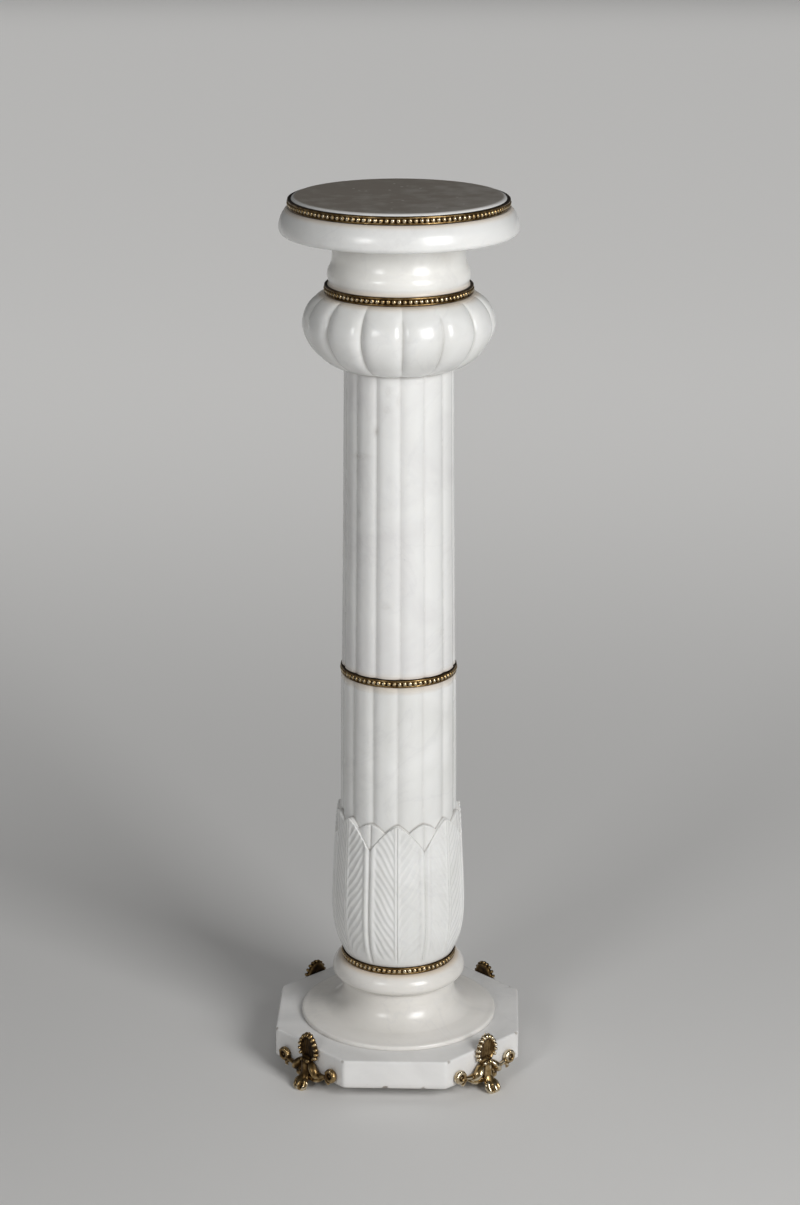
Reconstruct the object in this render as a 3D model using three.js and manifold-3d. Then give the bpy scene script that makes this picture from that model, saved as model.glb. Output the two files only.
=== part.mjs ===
// White marble pedestal column with gilt bronze mounts.
// Millimetres, +Z up, the floor is z = 0 and the column's axis is x = y = 0.
// Azimuths are in degrees from the front (-Y), growing towards +X.

import * as THREE from 'three';
import { mergeVertices } from 'three/addons/utils/BufferGeometryUtils.js';
import Module from 'manifold-3d';

const wasm = await Module();
wasm.setup();

// driving dimensions

const totalHeight = 1077;
const floorGap = 17; // clear height below the plinth
const plinthThickness = 36;
const plinthFlats = 300; // across the flats of the regular octagon
const clearance = 0.3; // between a bronze mount and the marble beside it

const reedCount = 14;
const lobeCount = 14;
const leafCount = 7; // front leaves, with as many rear leaves between them
const lowerReedPhase = 1; // azimuth of the front groove of the lower reeds
const upperReedPhase = 3.5; // and of the upper reeds, which stand a little turned
const lobePhase = 3.9; // azimuth of the front groove of the cushion
const leafPhase = 0.3; // azimuth of the front leaf's midrib
const roundColumns = 32;

const plinthTop = floorGap + plinthThickness;
const baseHeight = 77.3; // disc, hollow and roll up to the first beaded ring
const drumHeight = 371.2; // leaves and lower reeds
const upperShaftHeight = 376.5;
const cushionHeight = 86.2;
const neckHeight = 69.3;

const baseTop = plinthTop + baseHeight;
const drumTop = baseTop + drumHeight;
const shaftTop = drumTop + upperShaftHeight;
const cushionTop = shaftTop + cushionHeight;
const neckTop = cushionTop + neckHeight;

const discRadius = 121;
const hollowRadius = 69.6; // narrowest place above the disc
const rollRadius = 81.7;

const leafFootRadius = 66.6;
const leafBellyRadius = 82;
const leafTipRadius = 76.6;
const leafTipHeight = 196; // above the base moulding, front leaves
const rearTipHeight = 195.5;

const lowerReedRadius = 70.6;
const upperReedFoot = 68.5;
const upperReedHead = 64.6;
const reedDepth = 3;

const cushionRadius = 112.7;
const lobeGroove = 4.6;

const neckRadius = 77.5;
const neckRollRadius = 83.4;

const slabRadius = 139;
const slabTopEdge = 31; // height of the slab's shoulder above its underside
const tableRadius = 124.5; // the raised disc inside the top ring

// materials

const marble = (name) => new THREE.MeshStandardMaterial({
  name, color: '#e9e8e4', roughness: 0.28, metalness: 0,
});
const giltBronze = (name) => new THREE.MeshStandardMaterial({
  name, color: '#8f713a', roughness: 0.42, metalness: 1,
});

// helpers

const radians = THREE.MathUtils.degToRad;

// quarter or part of an ellipse as profile points, angles in degrees from the +x side
function ellipseArc(cx, cz, rx, rz, from, to, steps) {
  return Array.from({ length: steps + 1 }, (_, i) => {
    const a = radians(from + ((to - from) * i) / steps);
    return new THREE.Vector2(cx + rx * Math.cos(a), cz + rz * Math.sin(a));
  });
}

// a turned piece: profile points (radius, height) run from bottom to top round the outside
function turned(profile, columns = roundColumns) {
  return new THREE.LatheGeometry(profile, columns).rotateX(Math.PI / 2);
}

// a closed skin over rings of equally many points that run anticlockwise seen from the far end
function skin(rings) {
  const count = rings[0].length;
  const positions = rings.flat().flatMap((p) => [p.x, p.y, p.z]);
  const centre = (ring) => ring.reduce((sum, p) => sum.add(p), new THREE.Vector3()).divideScalar(count);
  const first = centre(rings[0]);
  const last = centre(rings[rings.length - 1]);
  const foot = count * rings.length;
  positions.push(first.x, first.y, first.z, last.x, last.y, last.z);
  const index = [];
  for (let i = 0; i < rings.length - 1; i += 1) {
    for (let j = 0; j < count; j += 1) {
      const a = i * count + j;
      const b = i * count + ((j + 1) % count);
      index.push(a, b, b + count, a, b + count, a + count);
    }
  }
  const lastRing = (rings.length - 1) * count;
  for (let j = 0; j < count; j += 1) {
    index.push(foot, (j + 1) % count, j);
    index.push(foot + 1, lastRing + j, lastRing + ((j + 1) % count));
  }
  const geometry = new THREE.BufferGeometry();
  geometry.setAttribute('position', new THREE.Float32BufferAttribute(positions, 3));
  geometry.setIndex(index);
  return geometry;
}

// a point at an azimuth, radius and height
const around = (azimuth, radius, z) => new THREE.Vector3(
  radius * Math.sin(radians(azimuth)),
  -radius * Math.cos(radians(azimuth)),
  z,
);

// the same column angles repeated round the axis
const repeated = (count, angles) => Array.from({ length: count }, (_, k) => k)
  .flatMap((k) => angles.map((a) => ({ a, azimuth: (k * 360) / count + a })));

function solidOf(geometry) {
  const bare = geometry.clone();
  bare.deleteAttribute('normal');
  bare.deleteAttribute('uv');
  const merged = mergeVertices(bare, 1e-4);
  return new wasm.Manifold(new wasm.Mesh({
    numProp: 3,
    vertProperties: new Float32Array(merged.attributes.position.array),
    triVerts: new Uint32Array(merged.index.array),
  }));
}

function geometryOf(solid) {
  const mesh = solid.getMesh();
  const geometry = new THREE.BufferGeometry();
  geometry.setAttribute('position', new THREE.Float32BufferAttribute(mesh.vertProperties, 3));
  geometry.setIndex([...mesh.triVerts]);
  return geometry;
}

const joined = (geometries) => geometryOf(geometries.map(solidOf).reduce((a, b) => a.add(b)));

const group = new THREE.Group();

function place(name, geometry, material, parent = group) {
  geometry.computeVertexNormals();
  const mesh = new THREE.Mesh(geometry, material);
  mesh.name = name;
  parent.add(mesh);
}

// plinth: a slab with eight equal sides

function plinthGeometry() {
  const corner = plinthFlats / 2 / Math.cos(radians(22.5));
  const ring = (radius, z) => repeated(8, [22.5]).map(({ azimuth }) => around(azimuth, radius, z));
  return skin([
    ring(corner - 1.5, floorGap),
    ring(corner, floorGap + 1.5),
    ring(corner, plinthTop - 1.5),
    ring(corner - 1.5, plinthTop),
  ]);
}

// base moulding: thin disc, deep hollow and roll

function baseProfile() {
  const z = plinthTop;
  return [
    new THREE.Vector2(0, z),
    ...ellipseArc(discRadius - 2.5, z + 2.8, 2.5, 2.8, -90, 75, 2),
    new THREE.Vector2(104, z + 7),
    ...ellipseArc(100, z + 36, 100 - hollowRadius, 27, 245, 180, 3),
    ...ellipseArc(hollowRadius + 1, z + 61.5, rollRadius - hollowRadius - 1, 10.5, -80, 0, 3),
    ...ellipseArc(66, z + 62, rollRadius - 66, 15.9, 25, 74, 2),
    new THREE.Vector2(70.4, baseTop),
    new THREE.Vector2(0, baseTop),
  ];
}

// a beaded strip: flat back and a swelling face, where the row of beads lies

function ringProfile(inner, outer, bottom, height) {
  return [
    new THREE.Vector2(inner, bottom),
    new THREE.Vector2(outer - 0.9, bottom),
    new THREE.Vector2(outer, bottom + height / 2),
    new THREE.Vector2(outer - 0.9, bottom + height),
    new THREE.Vector2(inner, bottom + height),
    new THREE.Vector2(inner, bottom),
  ];
}

// leaf drum: rows climb each leaf to its own outline, step in to the reeds and end flat

const ringRebate = 9.8; // height of the plain foot that a beaded ring hides

// radius of the leaf bell at a height above the drum's underside
function bellRadius(h) {
  const belly = 80;
  const foot = 9.5;
  if (h < belly) {
    const t = (belly - h) / (belly - foot);
    return leafBellyRadius - (leafBellyRadius - leafFootRadius) * t ** 2.6;
  }
  const t = (h - belly) / (leafTipHeight - belly);
  return leafBellyRadius - (leafBellyRadius - leafTipRadius) * t ** 1.15;
}

// outline of a front leaf and of a rear leaf, as heights against the angle from its midrib
const frontOutline = (a) => leafTipHeight - 0.62 * Math.abs(a) - 0.0296 * a * a;
const rearOutline = (a) => rearTipHeight - 0.047 * a * a;

const reedShape = (a, pitch) => Math.abs((((a % pitch) + pitch) % pitch) / pitch - 0.5) * 2;

function leafDrumGeometry() {
  const half = 180 / leafCount;
  const leafAngles = [-half, -half + 2, -17.5, -11.4, -2, 0, 2, 11.4, 17.5, half - 2];
  const reedAngles = [-half, -half + 2.2, -17.1, -8.6, -2.2, 0, 2.2, 8.6, 17.1, half - 2.2];
  const columns = repeated(leafCount, leafAngles);
  const reeds = repeated(leafCount, reedAngles);
  const grooveAt = (a) => {
    if (Math.abs(a) === half) return 2.6;
    if (a === 0) return 1.2;
    return 0;
  };
  const front = (share) => columns.map(({ a, azimuth }) => {
    const h = ringRebate + share * (frontOutline(a) - ringRebate);
    return around(azimuth + leafPhase, bellRadius(h) - grooveAt(a) * Math.min(1, share * 6), baseTop + h);
  });
  const rim = (a, step) => Math.max(rearOutline(half - Math.abs(a)), frontOutline(a) + 0.6 * step);
  const rear = (step, sink) => columns.map(({ a, azimuth }) => {
    const covered = rearOutline(half - Math.abs(a)) <= frontOutline(a) + 1;
    const h = step === 1 ? frontOutline(a) + 0.5 : rim(a, step);
    const r = bellRadius(h) - (covered ? sink + 0.8 * (step - 1) : sink);
    return around(azimuth + leafPhase, r, baseTop + h);
  });
  const shaft = (h, radius, follow = 0) => reeds.map(({ a, azimuth }, i) => {
    const leafA = columns[i].a;
    const z = follow ? rim(leafA, follow) : h;
    const groove = reedDepth * reedShape(a, 360 / reedCount) ** 4;
    return around(azimuth + lowerReedPhase, radius - groove, baseTop + z);
  });
  const plain = (h, radius) => columns.map(({ azimuth }) => around(azimuth + leafPhase, radius, baseTop + h));
  return skin([
    plain(0, leafFootRadius - 0.6),
    plain(ringRebate - 0.3, leafFootRadius - 0.6),
    ...[0.02, 0.07, 0.13, 0.2, 0.29, 0.4, 0.55, 0.72, 0.88, 1].map(front),
    rear(1, 2.4),
    rear(2, 2.6),
    shaft(0, lowerReedRadius, 3),
    shaft(240, lowerReedRadius),
    shaft(320, lowerReedRadius - 0.2),
    shaft(drumHeight, lowerReedRadius - 0.9),
  ]);
}

// upper shaft: reeds that taper with a slight swelling

function upperShaftGeometry() {
  const pitch = 360 / reedCount;
  const columns = repeated(reedCount, [0, 2.2, 8.6, pitch - 8.6, pitch - 2.2]);
  const foot = 10;
  const reeded = (t) => columns.map(({ a, azimuth }) => {
    const radius = upperReedHead + (upperReedFoot - upperReedHead) * (1 - t) ** 1.25;
    const z = drumTop + foot + t * (upperShaftHeight - foot);
    return around(azimuth + upperReedPhase, radius - reedDepth * reedShape(a, pitch) ** 4, z);
  });
  const plain = (z) => columns.map(
    ({ azimuth }) => around(azimuth + upperReedPhase, upperReedFoot - 3.4, z),
  );
  return skin([plain(drumTop), plain(drumTop + foot - 0.2), ...[0, 0.35, 1].map(reeded)]);
}

// cushion: fourteen lobes parted by sharp grooves

function cushionGeometry() {
  const pitch = 360 / lobeCount;
  const columns = repeated(lobeCount, [0, 2.4, pitch / 2, pitch - 2.4]);
  const widest = 50; // above its underside
  const heights = [0, 1.5, 6, 13, 23, 35, widest, 62, 72, 80, cushionHeight];
  const outline = (h) => {
    if (h < widest) return upperReedHead + 0.1 + 48 * (1 - ((widest - h) / widest) ** 1.7) ** (1 / 1.7);
    const t = (h - widest) / (cushionHeight - widest + 0.8);
    return cushionRadius - 33.5 + 33.5 * Math.sqrt(1 - t * t);
  };
  const ring = (h) => columns.map(({ a, azimuth }) => {
    const depth = lobeGroove * Math.min(1, 0.45 + Math.sin((Math.PI * h) / cushionHeight));
    return around(azimuth + lobePhase, outline(h) - depth * reedShape(a, pitch) ** 8, shaftTop + h);
  });
  return skin(heights.map(ring));
}

// neck: a collar with a small roll low down

function neckProfile() {
  const z = cushionTop;
  const ringBore = 83;
  return [
    new THREE.Vector2(0, z),
    new THREE.Vector2(ringBore, z),
    new THREE.Vector2(ringBore, z + 11),
    new THREE.Vector2(81.6, z + 12.4),
    ...ellipseArc(79.4, z + 22, neckRollRadius - 79.4, 9, -45, 45, 2),
    ...ellipseArc(83.5, z + 46.5, 83.5 - neckRadius, 15.5, 236, 180, 3),
    new THREE.Vector2(neckRadius, neckTop),
    new THREE.Vector2(0, neckTop),
  ];
}

// top slab: rounded edge below, raised table above with the top ring round it

function slabProfile() {
  const z = neckTop;
  const shoulder = z + slabTopEdge;
  return [
    new THREE.Vector2(0, z),
    ...ellipseArc(slabRadius - 7, z + 7.5, 7, 7.5, -90, 0, 2),
    ...ellipseArc(slabRadius - 33.3, z + 7.5, 33.3, 33.3, 15, 44.6, 3),
    new THREE.Vector2(tableRadius, shoulder),
    ...ellipseArc(tableRadius - 9, totalHeight - 3, 9, 3, 0, 90, 2),
    new THREE.Vector2(0, totalHeight),
  ];
}

// foot: one casting, a cupped shell over a waist with a scrolled arm to each side, a leg that
// flares to a clawed toe and a tongue below the plinth
// local axes: x along the side of the plinth, y outwards from it, z up from the floor

const shellHeight = 40;
const shellWidth = 32;
const armReach = 41;
const voluteDrop = 25; // from the plinth's top down to the middle of each volute

// an ellipse across a path in the plane x = const or along it
const ovalRing = (centre, across, along, halfAcross, halfAlong, count = 6) => Array.from(
  { length: count },
  (_, j) => {
    const t = (2 * Math.PI * j) / count;
    return centre.clone()
      .addScaledVector(across, halfAcross * Math.cos(t))
      .addScaledVector(along, halfAlong * Math.sin(t));
  },
);

// a tapering limb through stations { at, wide, deep }, with its section turned along the path
function limb(stations, across) {
  const rings = stations.map(({ at, wide, deep }, i) => {
    const before = stations[Math.max(i - 1, 0)].at;
    const after = stations[Math.min(i + 1, stations.length - 1)].at;
    const along = after.clone().sub(before).normalize();
    const side = across.clone().addScaledVector(along, -across.dot(along)).normalize();
    return ovalRing(at, side, along.clone().cross(side), wide, deep);
  });
  return skin(rings);
}

function shellGeometry() {
  const count = 16;
  const centre = new THREE.Vector3(0, 0, plinthTop + 1);
  // seen from outside, +x lies to the left, so the rings turn the other way
  const ring = (scale, y, scallop) => Array.from({ length: count }, (_, j) => {
    const t = (-2 * Math.PI * j) / count;
    const swell = 1 + scallop * Math.cos(8 * t);
    const x = (shellWidth / 2) * (1 - 0.2 * Math.sin(t)) * Math.cos(t);
    const z = (shellHeight / 2) * Math.sin(t);
    return new THREE.Vector3(x * scale * swell, y, centre.z + z * scale * swell);
  });
  return skin([
    ring(0.75, clearance + 0.1, 0),
    ring(0.97, 4, 0.04),
    ring(0.82, 8.4, 0.02),
    ring(0.5, 5, 0),
  ]);
}

function volute(side) {
  const count = 8;
  const ring = (radius, y) => Array.from({ length: count }, (_, j) => {
    const t = (-2 * Math.PI * j) / count;
    return new THREE.Vector3(
      side * armReach + radius * Math.cos(t),
      y,
      plinthTop - voluteDrop + radius * Math.sin(t),
    );
  });
  return skin([ring(6, clearance + 0.1), ring(7.8, 3), ring(5, 6.6)]);
}

function armGeometry(side) {
  const outwards = new THREE.Vector3(0, side, 0);
  const station = (x, drop, wide, deep) => ({
    at: new THREE.Vector3(side * x, 5, plinthTop - drop), wide, deep,
  });
  return limb([
    station(2, 17, 3.8, 3.4),
    station(8, 23, 4.8, 4.8),
    station(14, 28.5, 4.8, 5.2),
    station(21, 31.5, 3.6, 3.4),
    station(29, 29.5, 3.5, 2.2),
    station(38, 26, 3.4, 2.8),
  ], outwards);
}

function legGeometry() {
  const station = (y, drop, wide, deep) => ({
    at: new THREE.Vector3(0, y, plinthTop - drop), wide, deep,
  });
  return limb([
    station(5, 12, 7, 4),
    station(6, 21, 6.6, 4.8),
    station(8, 30, 6.6, 5),
    station(11, 38, 7.6, 5),
    station(16, 44.5, 9.4, 4.6),
    station(22, 48.5, 9.8, 3.8),
  ], new THREE.Vector3(-1, 0, 0));
}

// three claws, flat where they stand on the floor
function clawGeometry(offset) {
  const centre = new THREE.Vector3(offset, 20 + 3 * Math.cos(offset / 4), 4.5);
  const claw = new THREE.SphereGeometry(1, 6, 4).scale(4.2, 8.6, 5.6);
  claw.translate(centre.x, centre.y, centre.z);
  const spots = claw.attributes.position;
  for (let i = 0; i < spots.count; i += 1) spots.setZ(i, Math.max(spots.getZ(i), 0));
  return claw;
}

// the flat sole between the claws
const soleGeometry = () => new THREE.BoxGeometry(15, 11, 2.4).translate(0, 21, 1.2);

// the tongue that carries the plinth, behind the leg
function tongueGeometry() {
  const front = 8; // how far it runs out past the plinth's side, into the leg
  const deep = 38;
  const thick = 6;
  const top = floorGap - clearance;
  return new THREE.BoxGeometry(40, deep, thick).translate(0, front - deep / 2, top - thick / 2);
}

function footGeometry() {
  return joined([
    shellGeometry(),
    legGeometry(),
    tongueGeometry(),
    soleGeometry(),
    ...[-1, 1].flatMap((side) => [armGeometry(side), volute(side)]),
    ...[-6.6, 0, 6.6].map(clawGeometry),
  ]);
}

// assembly

place('plinth', plinthGeometry(), marble('white marble, plinth'));
place('base_moulding', turned(baseProfile()), marble('white marble, base'));
place('leaf_drum', leafDrumGeometry(), marble('white marble, drum'));
place('upper_shaft', upperShaftGeometry(), marble('white marble, shaft'));
place('capital_cushion', cushionGeometry(), marble('white marble, cushion'));
place('neck', turned(neckProfile()), marble('white marble, neck'));
place('top_slab', turned(slabProfile()), marble('white marble, slab'));

const beadedRings = {
  ring_base: [leafFootRadius, 71, baseTop, 9.4],
  ring_middle: [upperReedFoot - 3, 70.8, drumTop, 9.6],
  ring_neck: [83.4, 87.6, cushionTop, 10.6],
  ring_top: [tableRadius + 0.4, 129.4, neckTop + slabTopEdge, 10],
};
for (const [name, [inner, outer, bottom, height]] of Object.entries(beadedRings)) {
  place(name, turned(ringProfile(inner, outer, bottom, height)), giltBronze(`gilt bronze, ${name}`));
}

const footAzimuths = { front_right: 45, back_right: 135, back_left: 225, front_left: 315 };
for (const [corner, azimuth] of Object.entries(footAzimuths)) {
  const holder = new THREE.Group();
  holder.position.copy(around(azimuth, plinthFlats / 2, 0));
  holder.rotation.z = radians(azimuth + 180);
  group.add(holder);
  place(`foot_${corner}`, footGeometry(), giltBronze(`gilt bronze, ${corner}`), holder);
}

export default group;
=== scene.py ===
import bpy
import numpy as np
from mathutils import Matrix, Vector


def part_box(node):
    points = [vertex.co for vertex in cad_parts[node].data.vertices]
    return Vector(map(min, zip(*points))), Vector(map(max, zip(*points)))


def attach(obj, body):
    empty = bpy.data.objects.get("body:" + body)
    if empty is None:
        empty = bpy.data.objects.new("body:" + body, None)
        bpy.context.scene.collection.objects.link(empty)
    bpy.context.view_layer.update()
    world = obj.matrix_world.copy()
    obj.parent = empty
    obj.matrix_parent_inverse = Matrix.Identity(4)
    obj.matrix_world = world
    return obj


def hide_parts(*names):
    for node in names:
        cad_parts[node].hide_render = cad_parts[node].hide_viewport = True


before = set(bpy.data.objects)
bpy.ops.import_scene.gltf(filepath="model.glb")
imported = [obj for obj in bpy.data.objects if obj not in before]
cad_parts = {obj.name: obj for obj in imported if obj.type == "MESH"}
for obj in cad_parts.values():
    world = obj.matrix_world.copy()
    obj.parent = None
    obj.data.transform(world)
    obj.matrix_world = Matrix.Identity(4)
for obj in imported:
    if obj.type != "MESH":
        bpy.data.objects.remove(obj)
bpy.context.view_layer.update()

# White marble pedestal column with gilt bronze mounts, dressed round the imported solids.
# Shapes are worked out in millimetres with the floor at z = 0. Azimuths are in degrees from
# the front (-Y) towards +X. The mesh builder turns millimetres into metres.

mm = 0.001


def level(cadNode, end):
    # lowest (0) or highest (1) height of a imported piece, in millimetres
    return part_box(cadNode)[end][2] / mm


floorGap = level("plinth", 0)
plinthTop = level("plinth", 1)
baseTop = level("base_moulding", 1)
drumTop = level("leaf_drum", 1)
shaftTop = level("upper_shaft", 1)
cushionTop = level("capital_cushion", 1)
neckTop = level("neck", 1)
totalHeight = level("top_slab", 1)
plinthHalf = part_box("plinth")[1][0] / mm  # half the distance across the plinth's flats

# The camera stands where the photograph's did. Lengths are in millimetres, angles in degrees,
# and the focal length is in pixels of the 800 by 1205 frame.

photo = {"height": 1205, "focalPixels": 2916, "distance": 3336, "eyeHeight": 1637,
         "azimuth": 1.73, "pitch": 17.48, "turn": -0.014, "roll": -0.04}


def addObject(name, data):
    # an object at the origin, linked to the scene
    made = bpy.data.objects.new(name, data)
    bpy.context.scene.collection.objects.link(made)
    return made


def addCamera():
    # a camera at distance times sine and cosine of its azimuth, looking down by its pitch
    data = bpy.data.cameras.new("photo_camera")
    data.sensor_width = 36
    data.lens = photo["focalPixels"] * data.sensor_width / photo["height"]
    data.clip_end = 200
    camera = addObject("photo_camera", data)
    side = np.radians(photo["azimuth"])
    camera.location = (photo["distance"] * np.sin(side) * mm,
                       -photo["distance"] * np.cos(side) * mm, photo["eyeHeight"] * mm)
    camera.rotation_euler = (np.radians(90 - photo["pitch"]), np.radians(photo["roll"]),
                             np.radians(photo["azimuth"] + photo["turn"]))
    bpy.context.scene.camera = camera


addCamera()
print("camera set")

# Mesh tools


def outwards(azimuth):
    # unit vectors that point away from the axis: sine along x, minus cosine along y
    a = np.radians(azimuth)
    return np.stack([np.sin(a), -np.cos(a), np.zeros_like(a)], -1)


def roundSurface(azimuth, radius, height):
    # each point lies at radius along its azimuth's outward direction, lifted to its height
    azimuth, radius, height = np.broadcast_arrays(azimuth, radius, height)
    spots = outwards(azimuth) * radius[..., None]
    spots[..., 2] = height
    return spots


def closedGrid(spots):
    # quads between neighbouring rows and columns, the columns running round without a seam,
    # and at each end a fan to the mean of the end row
    rows, columns = spots.shape[:2]
    index = np.arange(rows * columns).reshape(rows, columns)
    low, high = index[:-1], index[1:]
    quads = np.stack([low, np.roll(low, -1, 1), np.roll(high, -1, 1), high], -1)
    ends = np.stack([spots[0].mean(0), spots[-1].mean(0)])
    first, last = index[0], index[-1]
    under = np.stack([np.full(columns, index.size), np.roll(first, -1), first], -1)
    over = np.stack([np.full(columns, index.size + 1), last, np.roll(last, -1)], -1)
    return (np.concatenate([spots.reshape(-1, 3), ends]), quads.reshape(-1, 4),
            np.concatenate([under, over]))


def loopedGrid(spots):
    # as closedGrid, but the last row joins the first again, as on a ring
    rows, columns = spots.shape[:2]
    low = np.arange(rows * columns).reshape(rows, columns)
    high = np.roll(low, -1, 0)
    quads = np.stack([low, np.roll(low, -1, 1), np.roll(high, -1, 1), high], -1)
    return spots.reshape(-1, 3), quads.reshape(-1, 4), np.zeros((0, 3), int)


def meshOf(name, surface, marks, creaseDegrees):
    # surface is (points in millimetres, quads, triangles), marks are named values for each
    # point, and edges bent more sharply than the crease stay sharp
    spots, quads, triangles = surface
    corners = np.concatenate([quads.ravel(), triangles.ravel()]).astype(np.int32)
    starts = np.concatenate([np.arange(len(quads)) * 4,
                             quads.size + np.arange(len(triangles)) * 3]).astype(np.int32)
    mesh = bpy.data.meshes.new(name)
    mesh.vertices.add(len(spots))
    mesh.vertices.foreach_set("co", (spots * mm).astype(np.float32).ravel())
    mesh.loops.add(len(corners))
    mesh.loops.foreach_set("vertex_index", corners)
    mesh.polygons.add(len(starts))
    mesh.polygons.foreach_set("loop_start", starts)
    mesh.polygons.foreach_set("use_smooth", np.ones(len(starts), bool))
    mesh.update(calc_edges=True)
    mesh.validate()
    mesh.set_sharp_from_angle(angle=float(np.radians(creaseDegrees)))
    for mark, values in marks.items():
        values = np.asarray(values, np.float32).ravel()
        full = np.full(len(spots), values[-1], np.float32)  # a cap's centre is as its rim
        full[:len(values)] = values
        mesh.attributes.new(mark, "FLOAT", "POINT").data.foreach_set("value", full)
    return mesh


def place(cadNode, surface, marks, material, slotName, creaseDegrees=38):
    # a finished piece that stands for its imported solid
    mesh = meshOf(cadNode + "_carved", surface, marks, creaseDegrees)
    piece = addObject(mesh.name, mesh)
    mesh.materials.append(material)
    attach(piece, "root")
    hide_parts(cadNode)
    mesh.calc_loop_triangles()
    print(f"{piece.name}: {len(mesh.loop_triangles)} triangles")
    return piece


def ellipseArc(cx, cz, rx, rz, start, end, steps):
    # centre plus radii times cosine and sine, the angle running evenly from start to end
    t = np.radians(np.linspace(start, end, steps + 1))
    return np.stack([cx + rx * np.cos(t), cz + rz * np.sin(t)], -1)


def dense(profile, spacing):
    # points added by straight interpolation, so that none lie further apart than spacing
    profile = np.asarray(profile, float)
    run = np.concatenate([[0], np.cumsum(np.hypot(*np.diff(profile, axis=0).T))])
    keep = np.concatenate([[True], np.diff(run) > 1e-6])
    run, profile = run[keep], profile[keep]
    knots = np.unique(np.concatenate([run, np.arange(0, run[-1], spacing)]).round(4))
    return np.stack([np.interp(knots, run, profile[:, 0]),
                     np.interp(knots, run, profile[:, 1])], -1)


def unevenness(azimuth, height, size, seed):
    # the slight waves of hand polishing: five sine waves that go a whole number of times round
    # the axis and drift with height, added up and scaled to size
    random = np.random.default_rng(seed)
    total = 0
    for turns in (2, 3, 5, 7, 11):
        lean, start = random.uniform(-1, 1) / 26, random.uniform(0, 6.28)
        climb = random.uniform(0.5, 1.5) / 34
        total = total + np.sin(np.radians(azimuth) * turns + height * lean + start) \
            * np.cos(height * climb + start)
    return total * size / 3


def bands(height, spots):
    # a soft stripe for each (height, width, strength), shaped as a bell curve
    return sum(strength * np.exp(-((height - z) / width) ** 2) for z, width, strength in spots)


# Statuary marble, turned and carved, then polished by hand. It gives a white with a little
# depth, soft square reflections, faint grey clouds, warm dirt at the joints, and the same warm
# grey as painted shade in the grooves, under the roll and on the table top.

marble = {"vein": "#C9C8CA", "dirtAndShade": "#928A80", "bronzeStain": "#DCBE95", "ior": 1.5,
          "roughness": 0.2, "roughnessRange": 0.06, "dirtRoughness": 0.35, "glow": 0.12,
          "glowMetres": 0.004,
          # how far apart each pattern's features lie; sizes and widths are shares of that
          "cloudMillimetres": 90, "veinMillimetres": 160, "veinWidth": 0.022,
          "veinStrength": 0.24, "speckMillimetres": 26, "speckSize": 0.02, "speckFade": 0.035,
          "fleckMillimetres": 22, "fleckSize": 0.05, "fleckFade": 0.1, "fleckLeft": 0.4,
          "dirtAndShadePatchesPerMetre": 45.0, "dirtAndShadeLeft": 0.8, "waveMillimetres": 30,
          "waveStrength": 0.25, "waveMetres": 0.0006}

blocks = {  # each block's white, its clouds, how strong its specks are and its patterns' offset
    "plinth": ("#EBEAE8", "#E1E0DE", 0.35, 3.0), "base": ("#EDEAE5", "#E3E0DA", 0.3, 1.0),
    "leaves": ("#EBEBE9", "#E1E1DE", 0.3, 5.0), "shaft": ("#EAEAE8", "#E0DFDE", 0.45, 6.0),
    "cushion": ("#EBEBE9", "#E1E1DE", 0.3, 7.0), "neck": ("#ECEBE7", "#E0DED9", 0.3, 2.0),
    "slab": ("#ECECEA", "#E2E2E0", 0.45, 4.0)}


def linear(hexColour):
    # sRGB hex to the linear values that Blender's sockets take
    s = np.array([int(hexColour[i:i + 2], 16) for i in (1, 3, 5)]) / 255
    return (*np.where(s <= 0.04045, s / 12.92, ((s + 0.055) / 1.055) ** 2.4).tolist(), 1.0)


def addNode(tree, kind, settings=None, sockets=None, output=0):
    # a node with its settings; each socket, by its name or by its place in a list, gets a fixed
    # value or a link. What comes back is the output that the next node needs
    made = tree.nodes.new("ShaderNode" + kind)
    for key, value in (settings or {}).items():
        setattr(made, key, value)
    byKey = sockets if isinstance(sockets, dict) else dict(enumerate(sockets or []))
    for key, value in byKey.items():
        if isinstance(value, bpy.types.NodeSocket):
            tree.links.new(value, made.inputs[key])
        else:
            made.inputs[key].default_value = value
    return made.outputs[output] if made.outputs else None


def newMaterial(name):
    # an empty material and its node tree
    material = bpy.data.materials.new(name)
    material.use_nodes = True
    material.node_tree.nodes.clear()
    return material, material.node_tree


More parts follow.
